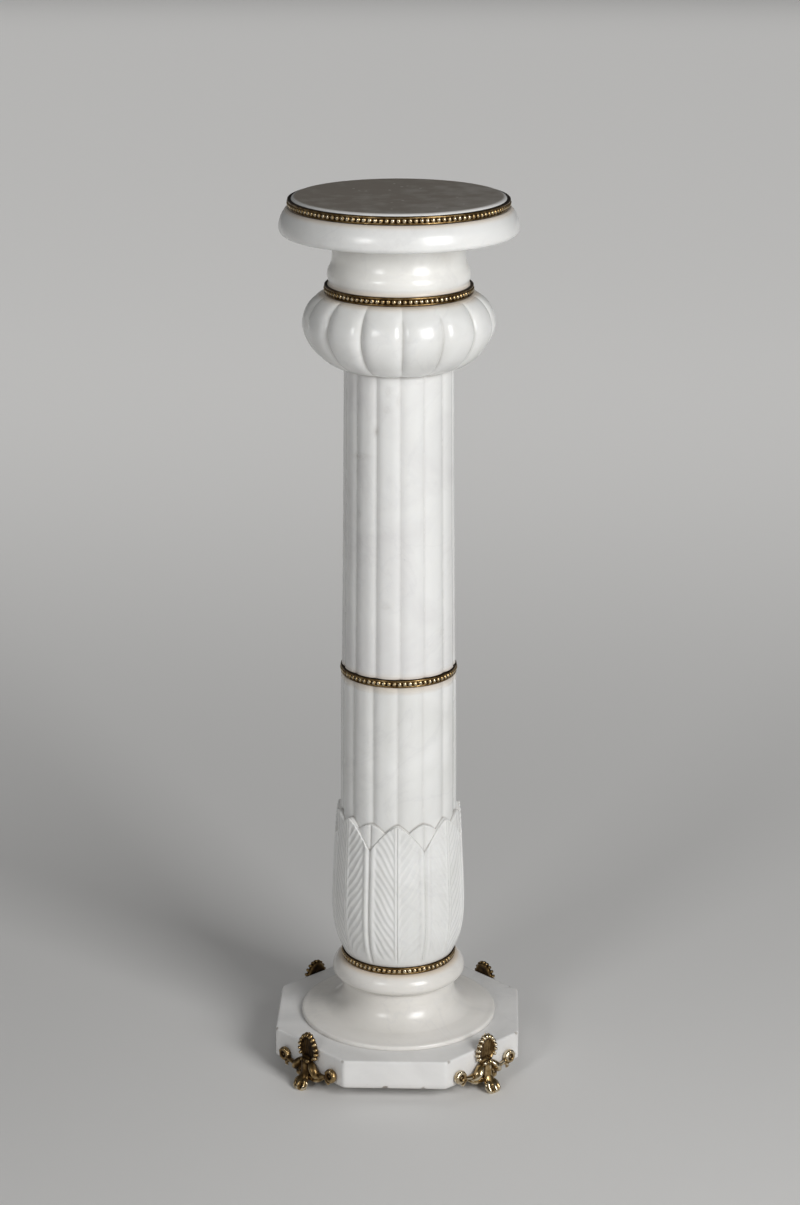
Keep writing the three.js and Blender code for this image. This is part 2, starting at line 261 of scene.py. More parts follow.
def polishedMarble(block):
    # the block's white, then clouds, veins, specks, bronze stain, and dirt with painted shade
    # laid over it in turn
    m = marble
    light, cloud, wear, seed = blocks[block]
    material, tree = newMaterial("polished_marble_" + block)
    spot = addNode(tree, "TexCoord", output="Object")
    moved = addNode(tree, "Mapping", None,
                    {"Vector": spot, "Location": (seed, seed * 0.7, seed * 0.4)})
    clouds = addNode(tree, "TexNoise", None, {
        "Vector": moved, "Scale": 1000 / m["cloudMillimetres"], "Detail": 5.0,
        "Roughness": 0.55, "Distortion": 0.6})
    cloudy = addNode(tree, "MapRange", None, [clouds, 0.42, 0.68])
    # veins are where a second noise passes its middle value
    drift = addNode(tree, "TexNoise", None, {
        "Vector": moved, "Scale": 1000 / m["veinMillimetres"], "Detail": 6.0,
        "Roughness": 0.6, "Distortion": 1.1})
    middle = addNode(tree, "Math", {"operation": "SUBTRACT"}, [drift, 0.5])
    away = addNode(tree, "Math", {"operation": "ABSOLUTE"}, [middle])
    vein = addNode(tree, "MapRange", None, [away, 0.0, m["veinWidth"], m["veinStrength"], 0.0])
    brokenVein = addNode(tree, "Math", {"operation": "MULTIPLY"}, [vein, clouds])
    # small dark specks, one in a few of the cells
    cells = addNode(tree, "TexVoronoi", None, {
        "Vector": moved, "Scale": 1000 / m["speckMillimetres"]})
    speck = addNode(tree, "MapRange", None, [cells, m["speckSize"], m["speckFade"], wear, 0.0])
    stain = addNode(tree, "Attribute", {"attribute_name": "stain"}, output="Fac")
    # the dirt and painted shade marked on each point is uneven, and thinned in small round flecks
    soil = addNode(tree, "Attribute", {"attribute_name": "soil"}, output="Fac")
    patchy = addNode(tree, "TexNoise", None, {
        "Vector": moved, "Scale": m["dirtAndShadePatchesPerMetre"], "Detail": 4.0})
    uneven = addNode(tree, "MapRange", None, [patchy, 0.3, 0.62, m["dirtAndShadeLeft"], 1.0])
    places = addNode(tree, "TexVoronoi", None, {
        "Vector": moved, "Scale": 1000 / m["fleckMillimetres"]})
    fleck = addNode(tree, "MapRange", None,
                    [places, m["fleckSize"], m["fleckFade"], m["fleckLeft"], 1.0])
    dirtAndShadeKept = addNode(tree, "Math", {"operation": "MULTIPLY"}, [uneven, fleck])
    dirtAndShade = addNode(tree, "Math", {"operation": "MULTIPLY", "use_clamp": True}, [soil, dirtAndShadeKept])
    colour = linear(light)
    # the warm grey is dirt at joints and painted shade in grooves and on the table top
    for share, hexColour in ((cloudy, cloud), (brokenVein, m["vein"]), (speck, m["vein"]),
                             (stain, m["bronzeStain"]), (dirtAndShade, m["dirtAndShade"])):
        colour = addNode(tree, "Mix", {"data_type": "RGBA"},
                         {0: share, 6: colour, 7: linear(hexColour)}, output=2)
    gloss = addNode(tree, "MapRange", None, [
        patchy, 0.3, 0.7, m["roughness"], m["roughness"] + m["roughnessRange"]])
    rough = addNode(tree, "Math", {"operation": "MULTIPLY_ADD", "use_clamp": True},
                    [dirtAndShade, m["dirtRoughness"], gloss])
    waves = addNode(tree, "TexNoise", None, {
        "Vector": moved, "Scale": 1000 / m["waveMillimetres"], "Detail": 2.0})
    bump = addNode(tree, "Bump", None, {
        "Height": waves, "Strength": m["waveStrength"], "Distance": m["waveMetres"]})
    shader = addNode(tree, "BsdfPrincipled", {"subsurface_method": "RANDOM_WALK"}, {
        "Base Color": colour, "Roughness": rough, "Normal": bump, "IOR": m["ior"],
        "Subsurface Weight": m["glow"], "Subsurface Radius": (1.0, 0.92, 0.82),
        "Subsurface Scale": m["glowMetres"]})
    addNode(tree, "OutputMaterial", None, {"Surface": shader})
    return material


# Bronze, cast and chased, then fire gilt. The gold is left on the high places, and the hollows
# have gone brown, which gives small bright points on a dark ground.

gilt = {"hollow": "#271B10", "bronze": "#604A2C", "gold": "#AC9266", "bright": "#DED1B6",
        "bronzeStop": 0.4, "goldStop": 0.76, "roughHollow": 0.52, "roughHigh": 0.17,
        "patchMillimetres": 9, "patchSpread": 0.2,
        # the casting's grain, drawn some four times as coarse as it is, so that it shows
        "grainMillimetres": 0.9, "grainStrength": 0.3, "grainMetres": 0.0002}


def giltBronze(cadNode, paintedShade, seed):
    # how high a point lies, less the painted shade of its foot, give or take a patchy noise,
    # picks the colour and the roughness from hollow to bright
    g = gilt
    material, tree = newMaterial("gilt_bronze_" + cadNode)
    spot = addNode(tree, "TexCoord", output="Object")
    moved = addNode(tree, "Mapping", None, {"Vector": spot, "Location": (seed, seed, seed)})
    high = addNode(tree, "Attribute", {"attribute_name": "polish"}, output="Fac")
    patches = addNode(tree, "TexNoise", None, {
        "Vector": moved, "Scale": 1000 / g["patchMillimetres"], "Detail": 5.0,
        "Roughness": 0.6})
    # patchy wear, moved darker by the foot's painted shade
    wornAndShaded = addNode(tree, "MapRange", None, [
        patches, 0.3, 0.7, -g["patchSpread"] - paintedShade, g["patchSpread"] - paintedShade])
    shine = addNode(tree, "Math", {"operation": "ADD", "use_clamp": True}, [high, wornAndShaded])
    ramp = addNode(tree, "ValToRGB", None, {"Fac": shine})
    stops = ramp.node.color_ramp.elements
    stops[0].color, stops[1].color = linear(g["hollow"]), linear(g["bright"])
    for key in ("bronze", "gold"):
        stops.new(g[key + "Stop"]).color = linear(g[key])
    rough = addNode(tree, "MapRange", None, [shine, 0.0, 1.0, g["roughHollow"], g["roughHigh"]])
    grain = addNode(tree, "TexNoise", None, {
        "Vector": moved, "Scale": 1000 / g["grainMillimetres"], "Detail": 2.0})
    bump = addNode(tree, "Bump", None, {
        "Height": grain, "Strength": g["grainStrength"], "Distance": g["grainMetres"]})
    shader = addNode(tree, "BsdfPrincipled", None, {
        "Base Color": ramp, "Metallic": 1.0, "Roughness": rough, "Normal": bump})
    addNode(tree, "OutputMaterial", None, {"Surface": shader})
    return material


# Plinth: an octagonal slab with softened edges and a few chips.

plinth = {"edge": 2.1, "cornerSharpness": 150, "columnsPerSide": 96, "rows": 13,
          # azimuth, height above the plinth's underside, size and depth of each chip
          "chips": [(24.0, 35.0, 2.4, 0.5), (-4.5, 1.2, 2.8, 0.8), (-23.3, 34.5, 2.2, 0.5),
                    (66.5, 35.0, 2.6, 0.6), (115.6, 35.4, 3.2, 0.9), (121.5, 35.6, 2.6, 0.8),
                    (13.0, 0.8, 2.0, 0.5), (-68.0, 34.8, 3.0, 0.7), (155.0, 35.2, 3.4, 0.9),
                    (203.0, 34.6, 3.0, 0.8), (118.0, 1.0, 3.0, 0.8)]}


def plinthSurface():
    # radius = half width / (sum over the eight sides of cos(azimuth - side)^p)^(1/p), which is
    # an octagon with slightly rounded corners; the columns crowd towards the corners. A chip
    # takes off depth * (1 - (distance / size)^2)^0.6, and dirt lies in it
    p = plinth
    u = np.linspace(-1, 1, p["columnsPerSide"], endpoint=False)
    within = 22.5 * np.sin(u * np.pi / 2)
    azimuth = (45 * np.arange(8)[:, None] + within).ravel()
    sides = np.cos(np.radians(azimuth[:, None] - 45 * np.arange(8))).clip(0, None)
    octagon = plinthHalf / (sides ** p["cornerSharpness"]).sum(1) ** (1 / p["cornerSharpness"])
    edge, thick = p["edge"], plinthTop - floorGap
    inwards = np.array([-40.0, -12.0, -4.0])  # rows on the flat underside and top
    upright = np.linspace(edge, thick - edge, p["rows"] + 2)[1:-1]
    profile = np.concatenate([
        np.stack([inwards, 0 * inwards], -1),
        ellipseArc(-edge, edge, edge, edge, -90, 0, 4),
        np.stack([0 * upright, upright], -1),
        ellipseArc(-edge, thick - edge, edge, edge, 0, 90, 4),
        np.stack([inwards[::-1], 0 * inwards + thick], -1)])
    inset, height = profile[:, 0, None], profile[:, 1, None]
    chipped = np.zeros((len(profile), len(azimuth)))
    for chipAzimuth, chipHeight, size, depth in p["chips"]:
        along = np.radians((azimuth - chipAzimuth + 180) % 360 - 180) * plinthHalf
        apart = np.hypot(along * (1 + 0.3 * np.sin(along * 2.1)), height - chipHeight)
        apart = np.hypot(apart, inset + 0.5)
        chipped = np.maximum(chipped, depth * (1 - (apart / size) ** 2).clip(0, None) ** 0.6)
    radius = octagon + inset - chipped
    lift = height - chipped * np.where(height > thick / 2, 0.8, -0.8)
    z = floorGap + lift + 0 * azimuth
    soil = 0.25 * np.exp(-((height - 1) / 3.5) ** 2) + 0.9 * (chipped * 1.6).clip(0, 1)
    return closedGrid(roundSurface(azimuth, radius, z)), {"soil": soil, "stain": 0 * soil}


place("plinth", *plinthSurface(), polishedMarble("plinth"), "marble")

# Turned pieces. A profile is a list of (radius, height), and the slab's sizes come first
# because its table is the one turned face with dirt and painted shade all over it.

turned = {"columns": 240, "spacing": 3.0, "wave": 0.07, "waveFadesWithin": 80}
slab = {"radius": 139, "table": 124.5, "shoulder": 31, "tableGrimeAndShade": 1.18}


def turnedPiece(cadNode, profile, material, grimeAndShadeBands, stainBands, seed, tableGrimeAndShade=0.0):
    # the profile's radius, a little uneven, carried round the axis; the last argument is the dirt
    # and painted shade on the table's top, which starts 1.5 mm inside its rim and is full 3 mm
    # further in
    t = turned
    profile = dense(profile, t["spacing"])
    azimuth = np.arange(t["columns"]) * 360 / t["columns"]
    radius, height = profile[:, 0, None], profile[:, 1, None]
    wave = unevenness(azimuth, height, t["wave"], seed) \
        * (radius / t["waveFadesWithin"]).clip(0, 1)
    spots = roundSurface(azimuth, radius - t["wave"] + wave, height)
    inside = np.clip((slab["table"] - 1.5 - radius) / 3, 0, 1) * (height > totalHeight - 1.2)
    # the table's painted shade is lighter to the right and to the front, towards the key light,
    # and a little lighter in the middle
    right = radius / slab["table"] * np.sin(np.radians(azimuth)).clip(0, None)
    front = radius / slab["table"] * np.cos(np.radians(azimuth)).clip(0, None)
    dirtAndShadeKept = (0.95 - 0.14 * right - 0.09 * front) * (1 - 0.08 * np.exp(-(radius / 45) ** 2))
    soil = bands(height, grimeAndShadeBands) + tableGrimeAndShade * inside * dirtAndShadeKept
    stain = bands(height, stainBands) + 0 * azimuth
    place(cadNode, closedGrid(spots), {"soil": soil, "stain": stain}, material, "marble")


# Base moulding: a thin disc, a deep hollow and a roll.
base = {"disc": 121, "discEdge": 2.8, "hollow": 69.6, "roll": 81.7}


def baseProfile():
    # the disc's square edge, an elliptical hollow that rises from it, a small bead, and a roll
    # of two half ellipses
    b, z = base, plinthTop
    return np.concatenate([
        [[30, z + 0.05], [b["disc"] - 0.7, z + 0.05]],
        ellipseArc(b["disc"] - 0.7, z + 0.75, 0.7, 0.7, -85, 0, 4),
        ellipseArc(b["disc"] - 2.4, z + b["discEdge"], 2.4, b["discEdge"], 2, 70, 6),
        [[112, z + 6.15], [104, z + 7.6]],
        ellipseArc(100, z + 36, 100 - b["hollow"], 28, 253, 180, 22),
        ellipseArc(b["hollow"] + 4.1, z + 48, 4.1, 3.2, 180, 100, 5),
        ellipseArc(b["hollow"] + 1, z + 61.2, b["roll"] - b["hollow"] - 1, 9.4, -66, 0, 12),
        ellipseArc(66, z + 61.8, b["roll"] - 66, 15.4, 0, 74, 16),
        [[68.5, baseTop], [30, baseTop]]])


turnedPiece("base_moulding", baseProfile(), polishedMarble("base"),
            # grey at the joint with the plinth, and a band of painted shade under the roll
            [(plinthTop, 0.8, 0.5), (plinthTop + 49, 2.2, 0.22)],
            [(baseTop - 0.5, 2.2, 0.45)], 11)

# Neck: a collar with a small roll low down.
neck = {"radius": 77.5, "roll": 83.4, "bore": 83}


def neckProfile():
    # an upright foot behind the beaded ring, an elliptical roll and a hollow up to the slab
    n, z = neck, cushionTop
    return np.concatenate([
        [[30, z], [n["bore"], z], [n["bore"], z + 10.6], [82.2, z + 11.6]],
        ellipseArc(79.4, z + 22, n["roll"] - 79.4, 9.4, -50, 48, 14),
        ellipseArc(83.9, z + 47, 83.9 - n["radius"], 17, 232, 180, 14),
        [[n["radius"], neckTop], [30, neckTop]]])


turnedPiece("neck", neckProfile(), polishedMarble("neck"),
            [(neckTop, 1.6, 0.4), (cushionTop + 10, 2.0, 0.35)],
            [(cushionTop + 10.5, 3.5, 0.4)], 12)

# Top slab: a rounded edge below and a raised round table.


def slabProfile():
    # a tight arc round the lower edge, a wide one up to the shoulder, then the table's upright
    # side and its softened rim
    s, z = slab, neckTop
    return np.concatenate([
        [[30, z], [s["radius"] - 8, z]],
        ellipseArc(s["radius"] - 7, z + 7.5, 7, 7.5, -86, 0, 9),
        ellipseArc(s["radius"] - 33.3, z + 7.5, 33.3, 33.3, 4, 44.6, 14),
        [[s["table"] + 3, z + s["shoulder"]], [s["table"], z + s["shoulder"]],
         [s["table"], totalHeight - 3.2]],
        ellipseArc(s["table"] - 6, totalHeight - 3, 6, 3, 4, 90, 9),
        [[110, totalHeight], [80, totalHeight], [30, totalHeight]]])


turnedPiece("top_slab", slabProfile(), polishedMarble("slab"),
            [(neckTop + slab["shoulder"], 1.6, 0.4)],
            [(neckTop + slab["shoulder"] - 1, 2.4, 0.35)], 13, slab["tableGrimeAndShade"])
print("turned marble done")

# Leaf drum: seven pointed leaves with seven more behind them, under fourteen reeds. Heights
# are measured from the drum's own foot.

drum = {"leaves": 7, "leafPhase": 0.3, "reedPhase": 1.0, "columnsPerLeaf": 84,
        # the calyx: radii and heights of its outline; hidden is the part inside the ring
        "rebate": 9.8, "hidden": 66.0, "foot": 68.4, "belly": 82, "bellyHeight": 80, "tip": 76.6,
        "tipHeight": 196, "rearTipHeight": 195.5, "thickness": 2.7,
        "frontSlope": 0.62, "frontCurve": 0.0296, "rearCurve": 0.047,
        # the carving on each leaf
        "valley": 2.2, "valleyHalfWidth": 3.2, "lipPlace": 4.8, "lipWidth": 2.4, "lip": 0.5,
        "midribGroove": 1.0, "midribHalfWidth": 1.6, "field": 0.5, "veinPitch": 14,
        "veinRise": 1.55, "veinDepth": 0.85, "fineVein": 0.2, "wander": 0.11,
        # the reeds above
        "reed": 70.6, "reedTaper": 0.9, "reedDepth": 3.0, "reedPower": 3.0,
        "groovesRounding": 0.4, "core": 30.0, "wave": 0.08}


def bellRadius(h):
    # from the belly, a steep power curve down to the foot and a gentle one up to the tips
    d = drum
    low = ((d["bellyHeight"] - h) / (d["bellyHeight"] - 9.5)).clip(0, None) ** 2.6
    high = ((h - d["bellyHeight"]) / (d["tipHeight"] - d["bellyHeight"])).clip(0, None) ** 1.15
    return d["belly"] - (d["belly"] - d["foot"]) * low - (d["belly"] - d["tip"]) * high


def grooveShape(azimuth, pitch, power, rounding=0.0):
    # one in each groove and zero on each crest: v = 1 - (distance from the crest)^power, whose
    # sharp bottom is rounded as the square root of v^2 + rounding^2
    v = 1 - np.abs((azimuth / pitch) % 1 - 0.5) ** power * 2 ** power
    return np.sqrt(1 + rounding ** 2) - np.sqrt(v * v + rounding ** 2)


def ramp01(value, start, end):
    # zero before start, one after end and smooth between: 3t^2 - 2t^3
    t = ((value - start) / (end - start)).clip(0, 1)
    return t * t * (3 - 2 * t)


def leafRelief(a, h):
    # depth below the bell: a V between leaves with a raised lip beside it, an incised midrib,
    # and a field of veins that rise outwards from the midrib. A vein's crest is where
    # (height - rise) / pitch is whole, give or take the wander of a hand-held chisel, and
    # rise = 1.55 * distance from the midrib + 3 * (1 - e^(-distance / 4))
    d = drum
    half = 180 / d["leaves"]
    across = np.radians(np.abs(a)) * bellRadius(h)
    margin = np.radians(half - np.abs(a)) * bellRadius(h)
    valley = d["valley"] * (1 - margin / d["valleyHalfWidth"]).clip(0, None) ** 1.3
    lip = d["lip"] * np.exp(-((margin - d["lipPlace"]) / d["lipWidth"]) ** 2)
    rib = d["midribGroove"] * (1 - across / d["midribHalfWidth"]).clip(0, None)
    side = np.sign(a)
    rise = d["veinRise"] * across + 3 * (1 - np.exp(-across / 4))
    wander = d["wander"] * np.sin(across * 0.19 + 2 * side + h * 0.021) \
        + 0.1 * np.sin(h * 0.11 + side)
    turn = 2 * np.pi * ((h - rise) / d["veinPitch"] + wander)
    crest = (0.5 + 0.5 * np.cos(turn)) ** 1.3
    fine = 0.5 + 0.5 * np.cos(2 * turn + 1.2)
    field = ramp01(across, 1.6, 5.0) * ramp01(margin, 5.6, 9.5) * ramp01(h, 15, 30)
    veins = field * (d["field"] + d["veinDepth"] * (1 - crest) - d["fineVein"] * fine)
    return valley + rib * ramp01(h, 12, 20) + veins - lip * ramp01(h, 16, 34), valley


def drumSurface():
    # rows climb each front leaf to its own pointed outline, round its edge, climb the rear
    # leaves to theirs, step in to the reeds and rise to a level top. A front leaf's outline is
    # the tip's height less a straight slope and a square of the azimuth a from its midrib, and
    # a rear leaf's is a square of the azimuth from its own
    d = drum
    half = 180 / d["leaves"]
    u = np.linspace(-1, 1, d["columnsPerLeaf"], endpoint=False)
    a = half * (u - 0.42 * np.sin(2 * np.pi * u) / (2 * np.pi))
    azimuth = (np.arange(d["leaves"])[:, None] * 2 * half + a).ravel()
    a = np.tile(a, d["leaves"])
    front = d["tipHeight"] - d["frontSlope"] * (np.sqrt(a * a + 4) - 2) - d["frontCurve"] * a * a
    rear = d["rearTipHeight"] - d["rearCurve"] * (half - np.abs(a)) ** 2
    rows = []  # each one is (radius, height, soil)

    share = np.concatenate([np.linspace(0, 0.12, 12), np.linspace(0.12, 1, 92)[1:]])[:, None]
    h = d["rebate"] + share * (front - 1.0 - d["rebate"])
    relief, valley = leafRelief(a, h)
    relief = relief * np.clip(share * 14, 0, 1)
    # painted shade in the V between leaves and in the midrib's groove
    soil = 0.16 * ramp01(valley, 1.5, 2.2) + 0.16 * ramp01(1.2 - np.abs(a), 0, 1.2)
    rows.append((bellRadius(h) - relief, h, soil))

    # the leaf's edge is rounded over its thickness
    turn = np.radians(np.linspace(18, 90, 5))[:, None]
    last = bellRadius(front - 1) - relief[-1]
    h = front - 1 + np.sin(turn)
    rows.append((last - 1.2 * (1 - np.cos(turn)), h, np.zeros_like(h + a)))
    under = np.maximum(np.minimum(last - 1.3, bellRadius(front) - d["thickness"]), d["reed"])
    # the row under the leaf's edge is painted with shade
    rows.append((under[None], (front + 0.15)[None], np.full((1, len(a)), 0.5)))

    # rear leaves, with a stem groove and a small fan; where one is covered its rows close up
    shown = rear > front + 0.8
    top = np.where(shown, rear, front + 0.7)
    share = np.linspace(0.08, 1, 9)[:, None]
    h = front + 0.2 + share * (top - 0.8 - front - 0.2)
    apart = np.radians(half - np.abs(a)) * bellRadius(h)
    # each half of a rear leaf swells between its stem groove and its edge
    stem = 0.9 * (1 - apart / 2.4).clip(0, None) ** 1.4 + 1.1 * ((apart - 8) / 9).clip(-1, 1) ** 2
    inner = np.where(shown, bellRadius(h) - d["thickness"] + 0.6, under - 0.4 - share)
    # painted shade where the rear leaf is cut in deepest
    rows.append((inner - np.where(shown, stem, 0), h, 0.12 * np.clip(stem, 0, 1)))
    turn = np.radians(np.linspace(25, 90, 4))[:, None]
    start = rows[-1][0][-1]
    h = top - 0.8 + 0.8 * np.sin(turn)
    rows.append((np.where(shown, start - 1.0 * (1 - np.cos(turn)), start - 0.1), h,
                 np.zeros_like(h + a)))

    # reeds: flat crests parted by narrow soft grooves
    groove = d["reedDepth"] * grooveShape(
        azimuth + d["leafPhase"] - d["reedPhase"], half, d["reedPower"], d["groovesRounding"])
    reedHeight = drumTop - baseTop
    share = (np.linspace(0, 1, 26)[:, None]) ** 1.3
    h = top + 0.15 + share * (reedHeight - 0.6 - top - 0.15)
    reed = d["reed"] - d["reedTaper"] * ((h - 240) / (reedHeight - 240)).clip(0, 1)
    # painted shade along the foot of the reeds under the leaf tops, and in the grooves
    leafTopShade = bands(h - top, [(0, 1.2, 0.5)])
    rows.append((reed - groove, h, leafTopShade + 0.12 * ramp01(groove, 1.4, 2.1)))
    topRow = np.full((1, len(a)), reedHeight)
    rows.append(((reed[-1] - groove - 0.6)[None], topRow, 0 * topRow))
    rows.append((0 * topRow + d["core"], topRow, 0 * topRow))

    foot = [(d["core"], 0.0), (d["hidden"], 0.0), (d["hidden"], d["rebate"] - 0.3)]
    flat = np.array(foot)[:, :, None] + 0 * a
    rows.insert(0, (flat[:, 0], flat[:, 1], 0 * flat[:, 0]))
    radius, height, soil = (np.concatenate([row[i] + 0 * a for row in rows]) for i in range(3))
    wave = unevenness(azimuth, height, d["wave"], 21) * (radius > 60)
    spots = roundSurface(azimuth + d["leafPhase"], radius + wave - 0.05, baseTop + height)
    soil = soil + bands(height, [(d["rebate"], 1.6, 0.4), (reedHeight, 2.0, 0.3)])
    stain = bands(height, [(d["rebate"], 2.4, 0.2), (reedHeight, 3.0, 0.4)]) + 0 * a
    return closedGrid(spots), {"soil": soil, "stain": stain}


place("leaf_drum", *drumSurface(), polishedMarble("leaves"), "marble", 42)

# Upper shaft: fourteen reeds that taper with a slight swelling.

shaft = {"reeds": 14, "phase": 3.5, "foot": 68.5, "head": 64.6, "grooveDepth": 2.8,
         "groovePower": 3.2, "groovesRounding": 0.42, "columnsPerReed": 30, "rows": 100,
         "hidden": 9.9, "core": 30.0, "wave": 0.09,
         # grey marks in the stone: azimuth, height above the drum, half width, half height,
         # strength
         "marks": [(-9.7, 359, 3, 5, 0.2), (-10.7, 337, 4, 3, 0.25), (1.7, 348, 3, 6, 0.2),
                   (-22.3, 310, 3, 5, 0.4), (-47, 277, 6, 3, 0.35), (-36, 279, 9, 2, 0.25),
                   (-43, 209, 2.5, 3, 0.4), (-11.3, 100, 5, 2.5, 0.25), (50.3, 62, 2, 3, 0.3),
                   (150, 250, 6, 3, 0.3), (190, 120, 3, 6, 0.25), (250, 300, 7, 3, 0.3)]}


def shaftSurface():
    # radius = head + (foot - head) * (1 - share of height)^1.25, less the grooves
    s = shaft
    pitch = 360 / s["reeds"]
    u = np.linspace(0, 1, s["columnsPerReed"], endpoint=False)
    a = pitch * (u - 0.5 * np.sin(2 * np.pi * u) / (2 * np.pi))
    azimuth = (np.arange(s["reeds"])[:, None] * pitch + a).ravel()
    groove = s["grooveDepth"] * grooveShape(azimuth, pitch, s["groovePower"], s["groovesRounding"])
    tall = shaftTop - drumTop
    share = np.linspace(0, 1, s["rows"])[:, None]
    h = s["hidden"] + 0.4 + share * (tall - s["hidden"] - 0.4)
    radius = s["head"] + (s["foot"] - s["head"]) * (1 - share) ** 1.25 - groove
    # grey at the joints, and painted shade in the grooves
    soil = bands(h, [(s["hidden"], 1.6, 0.3), (tall, 2.0, 0.5)]) + 0.12 * ramp01(groove, 1.3, 1.9)
    for markAzimuth, height, wide, high, strength in s["marks"]:
        along = np.radians((azimuth + s["phase"] - markAzimuth + 180) % 360 - 180) * s["head"]
        soil = soil + strength * np.exp(-(along / wide) ** 2 - ((h - height) / high) ** 2)
    inner = s["foot"] - 3.4
    foot = np.array([(s["core"], 0.0), (inner, 0.0), (inner, s["hidden"] - 0.2),
                     (inner + 2.6, s["hidden"])])
    radius = np.concatenate([np.minimum(foot[:, :1], radius[0] - 0.4), radius,
                             np.full((1, len(azimuth)), s["core"])])
    h = np.concatenate([foot[:, 1:] + 0 * azimuth, h + 0 * azimuth,
                        np.full((1, len(azimuth)), tall)])
    soil = np.concatenate([0 * foot[:, 1:] + 0 * azimuth, soil, 0 * azimuth[None]])
    wave = unevenness(azimuth, h, s["wave"], 31) * (radius > 60)
    spots = roundSurface(azimuth + s["phase"], radius + wave, drumTop + h)
    stain = bands(h, [(s["hidden"], 3.5, 0.35)])
    return closedGrid(spots), {"soil": soil, "stain": stain}


place("upper_shaft", *shaftSurface(), polishedMarble("shaft"), "marble", 42)

# Capital cushion: fourteen lobes parted by sharp grooves.

cushion = {"lobes": 14, "phase": 3.9, "foot": 64.7, "widest": 50, "radius": 112.7,
           "belowPower": 1.7, "crown": 33.5, "grooveDepth": 5.8, "groovePower": 4.2,
           "columnsPerLobe": 34, "rows": 76, "core": 30.0, "wave": 0.1}


def cushionSurface():
    # below the widest place a superellipse out from the foot, above it a quarter ellipse as
    # wide as the crown in to the top; the lobes are cut by grooves that fade towards both ends
    c = cushion
    pitch = 360 / c["lobes"]
    tall = cushionTop - shaftTop
    u = np.linspace(0, 1, c["columnsPerLobe"], endpoint=False)
    a = pitch * (u - 0.62 * np.sin(2 * np.pi * u) / (2 * np.pi))
    azimuth = (np.arange(c["lobes"])[:, None] * pitch + a).ravel()
    t = np.linspace(0, 1, c["rows"])[:, None]
    h = tall * (t - 0.6 * np.sin(2 * np.pi * t) / (2 * np.pi))
    low = ((c["widest"] - h) / c["widest"]).clip(0, 1)
    power = c["belowPower"]
    below = c["foot"] + (c["radius"] - c["foot"]) * (1 - low ** power) ** (1 / power)
    high = ((h - c["widest"]) / (tall - c["widest"] + 0.8)).clip(0, 1)
    above = c["radius"] - c["crown"] + c["crown"] * np.sqrt(1 - high ** 2)
    outline = np.where(h < c["widest"], below, above)
    strength = np.minimum(1, 0.45 + np.sin(np.pi * h / tall))
    groove = c["grooveDepth"] * strength * (
        0.86 * grooveShape(azimuth, pitch, c["groovePower"], 0.12)
        + 0.14 * grooveShape(azimuth, pitch, 2))
    radius = outline - groove
    core = np.full((1, len(azimuth)), c["core"])
    radius = np.concatenate([core, radius, core])
    # painted shade in the grooves, and grey at the joints
    soil = 0.3 * ramp01(groove, 3.6, 5.2) + bands(h, [(0, 1.6, 0.4), (tall, 2.0, 0.3)])
    soil = np.concatenate([0 * azimuth[None], soil, 0 * azimuth[None]])
    h = np.concatenate([h[:1], h, h[-1:]])
    wave = unevenness(azimuth, h, c["wave"], 41) * (radius > 60)
    spots = roundSurface(azimuth + c["phase"], radius + wave, shaftTop + h)
    stain = bands(h, [(tall, 3.0, 0.4)]) + 0 * azimuth
    return closedGrid(spots), {"soil": soil, "stain": stain}


place("capital_cushion", *cushionSurface(), polishedMarble("cushion"), "marble", 42)
print("carved marble done")

# Beaded rings: a cast strip round each joint.

rings = {"ring_base": {"inner": 66.7, "outer": 71.0, "beads": 68},
         "ring_middle": {"inner": 65.6, "outer": 70.8, "beads": 68},
         "ring_neck": {"inner": 83.5, "outer": 87.6, "beads": 84},
         "ring_top": {"inner": 124.9, "outer": 129.4, "beads": 122}}
ringShape = {"columnsPerBead": 8, "beadRadius": 2.75, "sink": 2.1, "fillet": 1.5,
             "filletStandsOut": 0.9, "beadPolish": (0.25, 0.75), "filletPolish": (0.02, 0.5)}


def ringSurface(name):
    # a strip with a half-round fillet along both edges and a row of beads between them: a bead
    # stands out by sqrt(1 - (across / radius)^2 - (along / radius)^2)
    ring, r = rings[name], ringShape
    bottom, top = level(name, 0), level(name, 1)
    tall = top - bottom
    columns = ring["beads"] * r["columnsPerBead"]
    azimuth = np.arange(columns) * 360 / columns
    f = r["fillet"]
    halfRound = f - f * np.cos(np.linspace(0, np.pi, 7))
    h = np.concatenate([halfRound, np.linspace(2 * f, tall - 2 * f, 13)[1:-1],
                        tall - 2 * f + halfRound])
    edge = np.minimum(h, tall - h)
    fillet = np.sqrt((1 - ((edge - f) / f) ** 2).clip(0, None)) * f * (edge < 2 * f)
    along = ((azimuth / 360 * ring["beads"]) % 1 - 0.5) * 2 * np.pi * ring["outer"] \
        / ring["beads"]
    across = (h - tall / 2)[:, None]
    bead = np.sqrt((1 - (across / r["beadRadius"]) ** 2 - (along / (r["beadRadius"] * 1.02)) ** 2)
                   .clip(0, None))
    ground = ring["outer"] - r["sink"]
    out = np.maximum(ground + r["sink"] * bead,
                     (ground + fillet * r["filletStandsOut"])[:, None])
    (low, gain), (edgeLow, edgeGain) = r["beadPolish"], r["filletPolish"]
    polish = np.where(bead > 0.05, low + gain * bead, edgeLow + edgeGain * (fillet / f)[:, None])
    face = roundSurface(azimuth, out, bottom + h[:, None] + 0 * azimuth)
    back = roundSurface(azimuth, np.full((2, 1), ring["inner"]) + 0 * azimuth,
                        np.array([[top - 0.1], [bottom + 0.1]]) + 0 * azimuth)
    polish = np.concatenate([polish, 0 * back[..., 0]])
    return loopedGrid(np.concatenate([face, back])), {"polish": polish}


